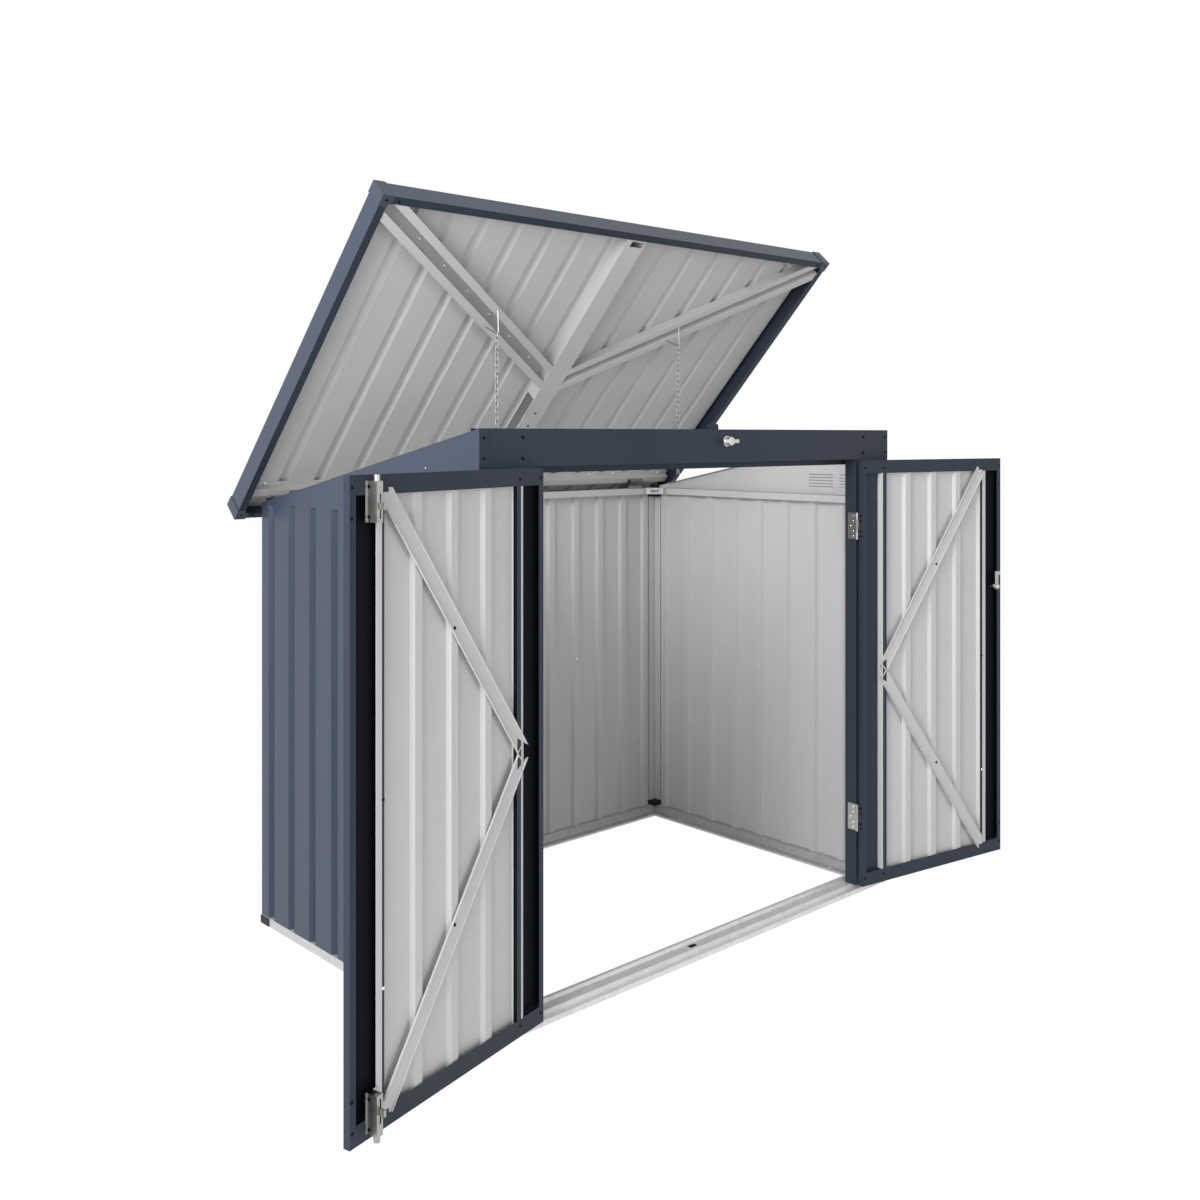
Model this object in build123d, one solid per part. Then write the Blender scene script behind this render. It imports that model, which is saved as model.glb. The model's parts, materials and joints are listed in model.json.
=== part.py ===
from build123d import *
import math
import os

# Body, in millimetres: the origin is on the ground, at the centre of the footprint
body_width = 1445.0
body_depth = 926.0
front_height = 1276.0
gable_rise = 191.5
sheet = 0.8
profile = 1.2

# Ribs pressed into the walls, the lid and the doors
rib_pitch = 103.0
rib_mouth = 31.0
rib_floor = 19.0
rib_depth = 10.0
rib_margin = 8.0

# Base frame
base_width = 60.0
base_height = 22.0
base_ledge = 20.0
base_toe = 24.0
base_toe_height = 6.0
sill_front_height = 12.0
sill_tread = 18.0
sill_shelf = 27.0
sill_lip_width = 9.0
sill_lip_height = 28.0
sill_notch = 14.0
anchor_edge = 12.0
anchor_spacing = 600.0
anchor_hole = 8.5
corner_plate_leg = 55.0
corner_plate_width = 22.0
corner_plate_thickness = 2.0

# Posts and their plastic end pieces
doorway_width = 1150.0
front_post_leg = 33.0
jamb_depth = 37.0
jamb_return = 22.0
rear_post_leg = 33.0
rear_post_fold = 8.0
rear_post_flat = 14.0
rear_post_dent = 6.0
plug_size = 34.0
plug_foot_height = 14.0
plug_head_height = 10.0
plug_button_size = 20.0
plug_button_height = 13.0

# Top rails round the walls
top_rail_width = 33.0
top_rail_height = 19.7
top_rail_lip = 21.0
corner_brace_span = 40.0
corner_brace_tab = 14.0
corner_brace_slot = 9.0

# Fascia and gables
fascia_height = 80.6
fascia_ledge = 30.0
fascia_lip = 12.0
fascia_soffit = 50.0
fascia_stop = 15.4
fascia_stop_foot = 10.0
gable_rear_height = 2.0
gable_foot = 22.0
gable_fold = 12.0
gable_front_fold = 25.5
front_vent_setback = 121.0
vent_spacing = 112.5
vent_width = 92.0
vent_rise = 23.3
slit_pitch = 9.0
slit_height = 3.6
slit_count = 5
hood_reach = 3.5
lock_plate_width = 40.0
lock_plate_height = 14.0
lock_plate_left = -18.0
lock_plate_setback = 13.0
lock_plate_foot = 16.0
lock_plate_hole = 5.5

# Doors
hinge_gap = 5.0
meeting_gap = 4.0
door_lift = 3.0
door_head_gap = 2.4
door_thickness = 15.0
door_rail_height = 36.0
hinge_stile_width = 92.0
hinge_stile_flange = 14.0
lock_stile_width = 86.0
lock_stile_flange = 6.0
stile_lip = 15.0
hinge_trim_width = 6.6
lock_trim_width = 13.0
lock_trim_depth = 3.0
door_panel_set = 2.0
door_rib_depth = 9.0
door_panel_tuck = 10.0
door_brace_width = 33.0
door_brace_lip = 5.0
door_brace_apex = 22.0
door_brace_lap = 4.0
door_brace_foot = 12.0
door_brace_step = 15.0
door_brace_step_height = 8.5
apex_notch_height = 33.0
apex_tip_height = 12.0
apex_tip_set = 35.0
apex_clip_height = 36.0
apex_clip_rim = 4.0
left_door_open = 166.2
right_door_open = 170.1

# Hinges
pin_radius = 2.0
pin_clearance = 0.3
pin_setout = 4.0
knuckle_sides = 10
knuckle_radius = 4.0
knuckle_gap = 0.4
leaf_clearance = 0.7
leaf_thickness = 1.2
door_hinge_height = 72.0
lower_hinge_rise = 185.0
upper_hinge_drop = 181.0
jamb_leaf_depth = 27.0
door_leaf_depth = 13.0

# Bolts of the left door
rod_radius = 6.0
rod_clearance = 0.4
rod_setout = 33.0
rod_from_edge = 48.0
rod_length = 82.0
rod_travel = 15.0
lug_width = 5.0
lug_height = 12.0
lug_reach = 20.0
lug_from_tip = 55.0
bracket_flange = 14.0
bracket_lip = 3.0
bracket_height = 73.0
bracket_from_end = 11.0
bracket_slot_spare = 1.0
strike_spare = 1.0
strike_slot = 26.0

# Turn latches of the right door and of the lid
shaft_radius = 5.0
shaft_clearance = 0.3
latch_sides = 20
ring_radius = 13.5
ring_height = 4.0
knob_radius = 11.0
knob_height = 9.0
handle_reach = 20.0
handle_length = 54.0
handle_width = 9.0
cam_width = 14.6
cam_reach = 45.0
cam_hook_width = 23.0
cam_hook_height = 11.0
cam_arm = 16.0
cam_thickness = 3.0
nut_radius = 8.0
nut_height = 4.0
door_latch_from_edge = 23.0
door_latch_level = 812.0
door_cam_set = 18.0
lid_latch_x = 37.0
lid_latch_drop = 29.0
lid_cam_set = 37.0

# Lid, laid flat: v runs forward from the back rim and w up from the rim underside
lid_overhang = 65.5
lid_depth = 1008.0
lid_rim = 51.0
lid_flange = 20.0
lid_back_flange = 14.0
lid_tilt = 46.57
lid_pivot_inset = 11.0
lid_pivot_v = 50.9
lid_pivot_w = 6.2
cap_leg = 29.0
cap_wall = 2.0
lid_panel_lap = 8.0
beam_width = 66.0
beam_offset = -4.0
beam_slot_start = 966.0
beam_slot_length = 17.0
beam_slot_spare = 3.0
beam_window_start = 120.0
beam_window_end = 430.0
lid_brace_width = 68.0
lid_brace_channel = 27.0
lid_brace_side_gap = 68.0
lid_brace_front_gap = 57.0
lid_brace_meeting = 508.0
cross_rail_start = 56.0
cross_rail_width = 23.0
cross_rail_flange = 15.0
cross_rail_level = 23.0
cross_rail_end_gap = 20.0
lid_hinge_x = 617.0
lid_hinge_length = 60.0
lid_knuckle_radius = 3.2
lid_knuckle_lift = 0.3
lid_leaf_reach = 24.0
lid_leaf_level = 9.8
lid_leaf_flange = 15.0
keeper_width = 26.0
keeper_depth = 16.0
keeper_front_gap = 58.0

# Chains under the lid
chain_x = 330.0
hanger_set = 11.5
hanger_drop = 40.0
hanger_bar_radius = 2.0
hanger_bar_length = 14.0
hanger_rod_radius = 1.5
hanger_rod_side = 5.0
wire_radius = 1.5
link_inner_length = 15.4
link_inner_width = 5.0
link_bend = 2.6
link_gap = 0.4
link_count = 24
wire_sides = 4

# Levels and planes that follow from the sizes above
half_width = body_width / 2
front_y = -body_depth / 2
back_y = body_depth / 2
inner_x = half_width - sheet
inner_y = back_y - sheet
wall_top = front_height - gable_rise
rail_top = wall_top + profile
rail_bottom = rail_top - top_rail_height
fascia_bottom = front_height - fascia_height
jamb_x = doorway_width / 2
leaf_width = jamb_x - hinge_gap - meeting_gap / 2
door_x = jamb_x - hinge_gap
door_bottom = base_height + door_lift
door_top = fascia_bottom - door_head_gap
pin_x = jamb_x - hinge_gap / 2
pin_y = front_y - pin_setout
rod_s = leaf_width - rod_from_edge
rod_x = rod_s - door_x
rod_y = front_y + rod_setout
latch_s = leaf_width - door_latch_from_edge
lid_latch_level = front_height - lid_latch_drop
pivot_y = back_y - lid_pivot_inset
pivot_z = rail_top + lid_knuckle_radius + lid_knuckle_lift
lid_x = half_width + lid_overhang
ridge_level = lid_rim - profile - rib_depth - sheet
lid_brace_level = profile


# Section of a folded sheet: the points run along one side, and the sheet lies to the left of them
def bent(points, thickness):
    side = [Vector(*point) for point in points]
    runs = [(b - a).normalized() for a, b in zip(side, side[1:])]
    normals = [Vector(-run.Y, run.X) for run in runs]
    turns = [a + b for a, b in zip(normals[:1] + normals, normals + normals[-1:])]
    far = [corner + turn * (2 * thickness / turn.dot(turn)) for corner, turn in zip(side, turns)]
    return make_face(Polyline(*side, *reversed(far), close=True))


def shape(*points):
    return make_face(Polyline(*points, close=True))


# Section in (y, z) drawn out along X, in (x, z) along Y, and in (x, y) along Z
def along_x(section, start, end):
    return extrude(Plane.YZ.offset(start) * section, end - start)


def along_y(section, start, end):
    return extrude(Plane.XZ.offset(-end) * section, end - start)


def along_z(section, start, end):
    return extrude(Plane.XY.offset(start) * section, end - start)


def block(x, y, z):
    corner = Align.MIN
    return Pos(x[0], y[0], z[0]) * Box(x[1] - x[0], y[1] - y[0], z[1] - z[0], align=(corner, corner, corner))


# Round bars along one axis, from one end to the other
def bar_x(radius, x, y, z):
    return Pos((x[0] + x[1]) / 2, y, z) * Rot(0, 90, 0) * Cylinder(radius, x[1] - x[0])


def bar_y(radius, x, y, z):
    return Pos(x, (y[0] + y[1]) / 2, z) * Rot(90, 0, 0) * Cylinder(radius, y[1] - y[0])


def bar_z(radius, x, y, z):
    return Pos(x, y, (z[0] + z[1]) / 2) * Cylinder(radius, z[1] - z[0])


def mirrored(part):
    return mirror(part, about=Plane.YZ)


# Outer side of a ribbed sheet, from its end back to its start, with the grooves going down
def ribbed(start, end, first, depth):
    low = math.ceil((start + rib_mouth / 2 + rib_margin - first) / rib_pitch)
    high = math.floor((end - rib_mouth / 2 - rib_margin - first) / rib_pitch)
    points = [(start, 0)]
    for index in range(low, high + 1):
        middle = first + index * rib_pitch
        points += [(middle - rib_mouth / 2, 0), (middle - rib_floor / 2, -depth)]
        points += [(middle + rib_floor / 2, -depth), (middle + rib_mouth / 2, 0)]
    points.append((end, 0))
    return points[::-1]


# Half of the square at the back left corner, on the wanted side of its diagonal
def back_mitre(reach, z, side):
    corner = (-half_width, back_y)
    inner = (corner[0] + reach, corner[1] - reach)
    third = (inner[0], corner[1]) if side else (corner[0], inner[1])
    return along_z(shape(corner, inner, third), z[0], z[1])


nodes = {}

# Front sill: a stepped sheet with a slot for the bottom bolt, closed at its ends
sill_ramp = sill_tread + sill_shelf
sill_path = [(base_width, 0), (base_width, sill_lip_height), (base_width - sill_lip_width, sill_lip_height)]
sill_path += [(sill_ramp, base_height), (sill_tread, base_height), (sill_tread, sill_front_height)]
sill_path += [(0, sill_front_height), (0, 0)]
sill = Pos(0, front_y, 0) * along_x(bent(sill_path, profile), -half_width, half_width)
for start in (-half_width, half_width - profile):
    sill += Pos(0, front_y, 0) * along_x(shape(*sill_path), start, start + profile)
for side in (-1, 1):
    notch_x = sorted((side * half_width, side * (half_width - sill_notch)))
    sill -= block(notch_x, (front_y, front_y + base_width), (base_height, sill_lip_height))
strike_width = 2 * (rod_radius + strike_spare)
sill -= Pos(rod_x, rod_y, base_height) * Box(strike_slot, strike_width, sill_shelf / 2)
nodes["front_sill"] = sill

# Base rails with a toe that takes the ground anchors, mitred at the back corners
base_path = [(base_width, 0), (base_width, base_toe_height), (base_width - base_toe, base_toe_height)]
base_path += [(base_ledge, base_height), (0, base_height), (0, 0)]
base_section = bent(base_path, profile)
side_rail = Pos(-half_width, 0, 0) * along_y(base_section, front_y + base_width, back_y)
side_rail -= back_mitre(base_width, (0, base_height), True)
anchor_x = half_width - base_width + anchor_edge
for y in (-anchor_spacing / 2, anchor_spacing / 2):
    side_rail -= bar_z(anchor_hole / 2, -anchor_x, y, (0, base_height))
back_section = bent([(-u, z) for u, z in base_path[::-1]], profile)
back_rail = Pos(0, back_y, 0) * along_x(back_section, -half_width, half_width)
back_cut = back_mitre(base_width, (0, base_height), False)
nodes["left_base_rail"] = side_rail
nodes["right_base_rail"] = mirrored(side_rail)
nodes["back_base_rail"] = back_rail - back_cut - mirrored(back_cut)

# Plates on the rail toes at the back corners
leg = corner_plate_leg
plate_shape = shape((0, 0), (leg, 0), (leg, -corner_plate_width), (corner_plate_width, -corner_plate_width),
                    (corner_plate_width, -leg), (0, -leg))
plate_inset = base_width - base_toe + (base_toe - corner_plate_width) / 2
base_plate = Pos(plate_inset - half_width, back_y - plate_inset, 0) * along_z(
    plate_shape, base_toe_height, base_toe_height + corner_plate_thickness)

# Front posts: folded channels whose inner side is the door jamb
post_path = [(-inner_x, front_y + front_post_leg), (-inner_x, front_y), (-jamb_x, front_y)]
post_path += [(-jamb_x, front_y + jamb_depth), (-jamb_x - jamb_return, front_y + jamb_depth)]
front_post = along_z(bent(post_path, profile), base_height, fascia_bottom)
nodes["left_front_post"] = front_post
nodes["right_front_post"] = mirrored(front_post)

# Rear corner posts, folded inwards at the corner, on plastic feet and under plastic heads
rear_path = [(0, -rear_post_leg), (rear_post_fold, -rear_post_leg), (rear_post_fold, -rear_post_flat)]
rear_path += [(rear_post_dent, -rear_post_dent), (rear_post_flat, -rear_post_fold)]
rear_path += [(rear_post_leg, -rear_post_fold), (rear_post_leg, 0)]
foot_top = base_height + plug_foot_height
head_bottom = rail_bottom - plug_head_height
rear_post = Pos(-inner_x, inner_y, 0) * along_z(bent(rear_path, profile), foot_top, head_bottom)
nodes["left_rear_post"] = rear_post
nodes["right_rear_post"] = mirrored(rear_post)
plug_x = (-inner_x, -inner_x + plug_size)
plug_y = (inner_y - plug_size, inner_y)
button = (plug_size - plug_button_size) / 2
button_x = (plug_x[0] + button, plug_x[1] - button)
button_y = (plug_y[0] + button, plug_y[1] - button)
plugs = [block(plug_x, plug_y, (base_height, foot_top)), block(plug_x, plug_y, (head_bottom, rail_bottom))]
plugs.append(block(button_x, button_y, (rail_top, rail_top + plug_button_height)))
nodes["rear_post_plugs"] = Compound(plugs + [mirrored(plug) for plug in plugs])

# Ribbed walls
side_section = bent(ribbed(front_y, back_y, 0, rib_depth), sheet)
side_wall = extrude(Plane((-half_width, 0, base_height), x_dir=(0, 1, 0)) * side_section, wall_top - base_height)
nodes["left_wall"] = side_wall
nodes["right_wall"] = mirrored(side_wall)
back_wall_section = bent(ribbed(-inner_x, inner_x, rib_pitch / 2, rib_depth), sheet)
nodes["back_wall"] = Pos(0, back_y, 0) * along_z(back_wall_section, base_height, wall_top)

# Top rails on the wall edges, mitred at the back corners
lip_start = top_rail_width - top_rail_lip
top_path = [(lip_start, rail_bottom), (top_rail_width, rail_bottom), (top_rail_width, rail_top), (0, rail_top)]
rail_start = front_y + front_post_leg + profile
side_top_rail = Pos(-half_width, 0, 0) * along_y(bent(top_path, profile), rail_start, back_y)
side_top_rail -= back_mitre(top_rail_width, (rail_bottom, rail_top), True)
back_top_section = bent([(-u, z) for u, z in top_path[::-1]], profile)
back_top_rail = Pos(0, back_y, 0) * along_x(back_top_section, -half_width, half_width)
top_cut = back_mitre(top_rail_width, (rail_bottom, rail_top), False)
nodes["left_top_rail"] = side_top_rail
nodes["right_top_rail"] = mirrored(side_top_rail)
nodes["back_top_rail"] = back_top_rail - top_cut - mirrored(top_cut)

# Slotted brackets across the back corners of the top rails
span = corner_brace_span
brace_path = [(0, -span - corner_brace_tab), (0, -span), (span, 0), (span + corner_brace_tab, 0)]
corner_brace = along_z(bent(brace_path[::-1], profile), rail_bottom, rail_top)
slot = Pos(span / 2, -span / 2, rail_top - top_rail_height / 2) * Rot(0, 0, 45) * Box(
    span * 0.7, 4 * profile, corner_brace_slot)
corner_brace = Pos(top_rail_width - half_width, back_y - top_rail_width, 0) * (corner_brace - slot)
brackets = [base_plate, corner_brace]
nodes["corner_brackets"] = Compound(brackets + [mirrored(bracket) for bracket in brackets])

# Gables: sloping side sheets above the walls, with two louvre vents each
slope = (front_height - rail_top - gable_rear_height) / body_depth
gable_back = rail_top + gable_rear_height
gable = along_x(shape((back_y, rail_top), (front_y, rail_top), (front_y, front_height), (back_y, gable_back)),
                -half_width, -inner_x)
fold_start = back_y - 2 * plug_size
fold_end = front_y + fascia_soffit
fold_high = gable_back + slope * (back_y - fold_end)
fold_low = gable_back + slope * (back_y - fold_start)
fold_section = shape((fold_end, fold_high), (fold_end, fold_high - sheet), (fold_start, fold_low - sheet),
                     (fold_start, fold_low))
gable += along_x(fold_section, -inner_x, gable_fold - inner_x)
gable += block((-inner_x, gable_foot - inner_x), (fold_end, fold_start), (rail_top, rail_top + sheet))
gable += block((-half_width, gable_front_fold - half_width), (front_y - sheet, front_y),
               (fascia_bottom, front_height))
front_vent = front_y + front_vent_setback
for middle in (front_vent, front_vent + vent_spacing):
    for index in range(slit_count):
        level = rail_top + vent_rise + index * slit_pitch
        ends = (middle - vent_width / 2, middle + vent_width / 2)
        gable -= block((-half_width, -inner_x), ends, (level - slit_height / 2, level + slit_height / 2))
        top = level + slit_height / 2
        low = level - slit_height / 2
        hood = shape((-half_width, top), (-half_width, top + sheet), (-half_width - hood_reach, low + sheet),
                     (-half_width - hood_reach, low))
        gable += along_y(hood, ends[0], ends[1])
nodes["left_gable"] = gable
nodes["right_gable"] = mirrored(gable)

# Fascia over the doors: ledge, front, soffit and the stop that the doors close on
ledge_y = front_y + fascia_ledge
soffit_y = front_y + fascia_soffit
fascia_path = [(ledge_y, front_height - fascia_lip), (ledge_y, front_height), (front_y, front_height)]
fascia_path += [(front_y, fascia_bottom), (soffit_y, fascia_bottom), (soffit_y, fascia_bottom - fascia_stop)]
fascia_path += [(soffit_y + fascia_stop_foot, fascia_bottom - fascia_stop)]
fascia = along_x(bent(fascia_path, profile), -inner_x, inner_x)
fascia -= bar_z(rod_radius + strike_spare, rod_x, rod_y, (fascia_bottom - profile, fascia_bottom + 2 * profile))
fascia -= bar_y(shaft_radius + shaft_clearance, lid_latch_x, (front_y - profile, front_y + 2 * profile),
                lid_latch_level)
nodes["fascia"] = fascia

# Upright lock plate standing on the fascia
lock_x = (lock_plate_left, lock_plate_left + lock_plate_width)
lock_y = front_y + lock_plate_setback
lock_plate = block(lock_x, (lock_y, lock_y + profile), (front_height, front_height + lock_plate_height))
lock_plate = fillet(lock_plate.edges().filter_by(Axis.Y).group_by(Axis.Z)[-1], lock_plate_height / 2)
lock_plate += block(lock_x, (lock_y, lock_y + lock_plate_foot), (front_height, front_height + profile))
lock_plate -= bar_y(lock_plate_hole / 2, lock_x[0] + lock_plate_hole, (lock_y - profile, lock_y + 2 * profile),
                    front_height + lock_plate_height / 2)
nodes["lock_plate"] = lock_plate

# Door hinges: the jamb leaf carries the outer knuckles and the door leaf the middle one
third = door_hinge_height / 4
leaf_start = knuckle_radius + leaf_clearance
bore_section = RegularPolygon(pin_radius + pin_clearance, knuckle_sides, major_radius=False)
door_knuckle = Pos(-pin_x, pin_y) * (RegularPolygon(knuckle_radius, knuckle_sides) - bore_section)
door_bore = Pos(-pin_x, pin_y) * bore_section
jamb_leaves, door_leaves, door_pins = [], [], []
for level in (door_bottom + lower_hinge_rise, door_top - upper_hinge_drop):
    low, high = level - door_hinge_height / 2, level + door_hinge_height / 2
    outer_spans = [(low, level - third - knuckle_gap / 2), (level + third + knuckle_gap / 2, high)]
    inner_span = (level - third + knuckle_gap / 2, level + third - knuckle_gap / 2)
    jamb_leaf = block((-jamb_x, leaf_thickness - jamb_x), (pin_y + leaf_start, front_y + jamb_leaf_depth),
                      (low, high))
    for ends in outer_spans:
        jamb_leaf += block((-jamb_x, leaf_thickness - jamb_x), (pin_y, pin_y + leaf_start), ends)
        jamb_leaf += along_z(door_knuckle, ends[0], ends[1])
    door_leaf = block((-door_x - leaf_thickness, -door_x), (pin_y + leaf_start, front_y + door_leaf_depth),
                      (low, high))
    door_leaf += block((-door_x - leaf_thickness, -door_x), (pin_y, pin_y + leaf_start), inner_span)
    door_leaf += along_z(door_knuckle, inner_span[0], inner_span[1])
    bore = along_z(door_bore, low, high)
    jamb_leaves.append(jamb_leaf - bore)
    door_leaves.append(door_leaf - bore)
    door_pins.append(bar_z(pin_radius, -pin_x, pin_y, (low - profile, high + profile)))

# Lid hinges: one leaf on the back top rail, the other under the cross rail of the lid
lid_swing = Pos(0, pivot_y, pivot_z) * Rot(-lid_tilt, 0, 0) * Pos(0, lid_pivot_v, -lid_pivot_w)
lid_knuckle = RegularPolygon(lid_knuckle_radius, knuckle_sides) - bore_section
rail_leaves, lid_leaves, lid_pins = [], [], []
for side in (-1, 1):
    low = side * lid_hinge_x - lid_hinge_length / 2
    high = side * lid_hinge_x + lid_hinge_length / 2
    quarter = lid_hinge_length / 4
    outer_spans = [(low, low + quarter - knuckle_gap / 2), (high - quarter + knuckle_gap / 2, high)]
    inner_span = (low + quarter + knuckle_gap / 2, high - quarter - knuckle_gap / 2)
    clear = lid_knuckle_radius + leaf_clearance
    rail_leaf = block((low, high), (pivot_y - lid_leaf_reach, pivot_y - clear), (rail_top, rail_top + leaf_thickness))
    for ends in outer_spans:
        rail_leaf += block(ends, (pivot_y - clear, pivot_y), (rail_top, rail_top + leaf_thickness))
        rail_leaf += along_x(Pos(pivot_y, pivot_z) * lid_knuckle, ends[0], ends[1])
    leaf_level = (lid_leaf_level - leaf_thickness, lid_leaf_level)
    leaf_front = -lid_pivot_v - lid_leaf_reach
    lid_leaf = block((low, high), (leaf_front, -lid_pivot_v - clear), leaf_level)
    lid_leaf += block((low, high), (leaf_front, leaf_front + leaf_thickness), (leaf_level[0], cross_rail_level))
    lid_leaf += block((low, high), (leaf_front, leaf_front + lid_leaf_flange),
                      (cross_rail_level - leaf_thickness, cross_rail_level))
    lid_leaf += block(inner_span, (-lid_pivot_v - clear, -lid_pivot_v), leaf_level)
    lid_leaf += along_x(Pos(-lid_pivot_v, lid_pivot_w) * lid_knuckle, inner_span[0], inner_span[1])
    rail_leaves.append(rail_leaf - along_x(Pos(pivot_y, pivot_z) * bore_section, low, high))
    lid_leaf -= along_x(Pos(-lid_pivot_v, lid_pivot_w) * bore_section, low, high)
    lid_leaves.append(lid_swing * lid_leaf)
    lid_pins.append(bar_x(pin_radius, (low - profile, high + profile), pivot_y, pivot_z))
nodes["fixed_hinge_leaves"] = Compound(jamb_leaves + [mirrored(leaf) for leaf in jamb_leaves] + rail_leaves)
nodes["lid_hinge_leaves"] = Compound(lid_leaves)
nodes["hinge_pins"] = Compound(door_pins + [mirrored(pin) for pin in door_pins] + lid_pins)

# Doors, made closed on the left: s runs from the hinge edge, t inwards from the outer face
door_place = Pos(-door_x, front_y, 0)
left_swing = Pos(-pin_x, pin_y, 0) * Rot(0, 0, -left_door_open) * Pos(pin_x, -pin_y, 0)
right_swing = Pos(pin_x, pin_y, 0) * Rot(0, 0, right_door_open) * Pos(-pin_x, -pin_y, 0)


def on_left(part):
    return left_swing * (door_place * part)


def on_right(part):
    return right_swing * mirrored(door_place * part)


# Stiles: folded sheets with a lip at the door edge and an upstanding rib beside the panel
rail_low = door_bottom + door_rail_height
rail_high = door_top - door_rail_height
stile_start = [(stile_lip, door_thickness), (0, door_thickness), (0, 0)]
hinge_end = hinge_stile_width - hinge_stile_flange
lock_end = lock_stile_width - lock_stile_flange
hinge_path = stile_start + [(hinge_stile_width, 0), (hinge_stile_width, door_thickness), (hinge_end, door_thickness)]
lock_path = stile_start + [(lock_stile_width, 0), (lock_stile_width, door_thickness), (lock_end, door_thickness)]
lock_path = [(leaf_width - s, t) for s, t in lock_path[::-1]]
hinge_stile = along_z(bent(hinge_path, profile), rail_low, rail_high)
lock_stile = along_z(bent(lock_path, profile), rail_low, rail_high)
latch_hole = bar_y(shaft_radius + shaft_clearance, latch_s, (-profile, 2 * profile), door_latch_level)

# Rails: channels across the whole leaf, closed at their ends and open to the panel
wall = profile
door_rails = []
for low, high, floor in ((rail_high, door_top, -wall), (door_bottom, rail_low, wall)):
    channel = block((0, leaf_width), (0, door_thickness), (low, high))
    hollow = block((wall, leaf_width - wall), (wall, door_thickness - wall), (low, high))
    door_rails.append(channel - Pos(0, 0, floor) * hollow)

# Ribbed panel, tucked into the rails and held between the stile ribs
panel_path = ribbed(-leaf_width - rib_pitch, rib_pitch, -leaf_width / 2, door_rib_depth)
panel_z = (rail_low - door_panel_tuck, rail_high + door_panel_tuck)
panel_plane = Plane((0, door_panel_set, panel_z[0]), x_dir=(-1, 0, 0))
door_panel = extrude(panel_plane * bent(panel_path, sheet), panel_z[1] - panel_z[0])
door_panel &= block((hinge_stile_width, leaf_width - lock_stile_width), (0, door_thickness), panel_z)

# Light trims along the stile ribs
trim_start = hinge_end - hinge_trim_width
trim_path = [(hinge_end, door_thickness), (trim_start, door_thickness), (trim_start, profile)]
trim_far = [(leaf_width - lock_end + lock_trim_width, door_thickness - lock_trim_depth)]
trim_far += [(leaf_width - lock_end + lock_trim_width, door_thickness), (leaf_width - lock_end, door_thickness)]
door_trims = [along_z(bent(path, profile), rail_low, rail_high) for path in (trim_path, trim_far)]

# Diagonal braces from the hinge stile to the rails, and the clip where they meet
apex = (hinge_stile_width - door_brace_apex, (door_bottom + door_top) / 2)
brace_end = leaf_width - lock_stile_width + door_brace_lap
brace_top = rail_high + door_brace_foot
run_s = brace_end - apex[0]
run_z = brace_top - apex[1]
run = math.hypot(run_s, run_z)
half_brace = door_brace_width / 2
brace_section = bent([(-half_brace, door_brace_lip), (-half_brace, 0), (half_brace, 0),
                      (half_brace, door_brace_lip)], profile)
brace_plane = Plane((apex[0] - run_s / 4, door_thickness, apex[1] - run_z / 4), x_dir=(run_z / run, 0, -run_s / run),
                    z_dir=(run_s / run, 0, run_z / run))
brace_t = (door_thickness, door_thickness + door_brace_lip)
upper_brace = extrude(brace_plane * brace_section, 1.5 * run) & block((0, brace_end), brace_t, (apex[1], brace_top))
upper_brace -= block((brace_end - door_brace_step, brace_end), brace_t, (brace_top - door_brace_step_height, brace_top))
notch_s = (hinge_stile_width, hinge_stile_width - apex_tip_set)
tip_z = apex[1] + apex_tip_height
notch = shape((notch_s[0], apex[1]), (notch_s[0], apex[1] + apex_notch_height), (notch_s[1], tip_z), (0, tip_z),
              (0, apex[1]))
upper_brace -= along_y(notch, brace_t[0], brace_t[1])
lower_brace = Pos(0, 0, 2 * apex[1]) * mirror(upper_brace, about=Plane.XY)
clip_half = apex_clip_height / 2
clip_outline = shape((trim_start, -clip_half), (trim_start + apex_clip_rim, -clip_half), (hinge_stile_width, 0),
                     (trim_start + apex_clip_rim, clip_half), (trim_start, clip_half))
clip_hole = shape((trim_start + apex_clip_rim, apex_clip_rim - clip_half), (hinge_stile_width - apex_clip_rim, 0),
                  (trim_start + apex_clip_rim, clip_half - apex_clip_rim))
clip = Pos(0, 0, apex[1]) * along_y(clip_outline - clip_hole, door_thickness, door_thickness + profile)
door_braces = [upper_brace, lower_brace, clip]

nodes["left_door_hinge_stile"] = on_left(hinge_stile)
nodes["left_door_lock_stile"] = on_left(lock_stile)
nodes["right_door_hinge_stile"] = on_right(hinge_stile)
nodes["right_door_lock_stile"] = on_right(lock_stile - latch_hole)
for side, place in (("left", on_left), ("right", on_right)):
    nodes[side + "_door_rails"] = Compound([place(piece) for piece in door_rails])
    nodes[side + "_door_panel"] = place(door_panel)
    nodes[side + "_door_trims"] = Compound([place(piece) for piece in door_trims])
    nodes[side + "_door_braces"] = Compound([place(piece) for piece in door_braces])
nodes["left_door_hinge_leaves"] = Compound([left_swing * leaf for leaf in door_leaves])
nodes["right_door_hinge_leaves"] = Compound([right_swing * mirrored(leaf) for leaf in door_leaves])

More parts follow.
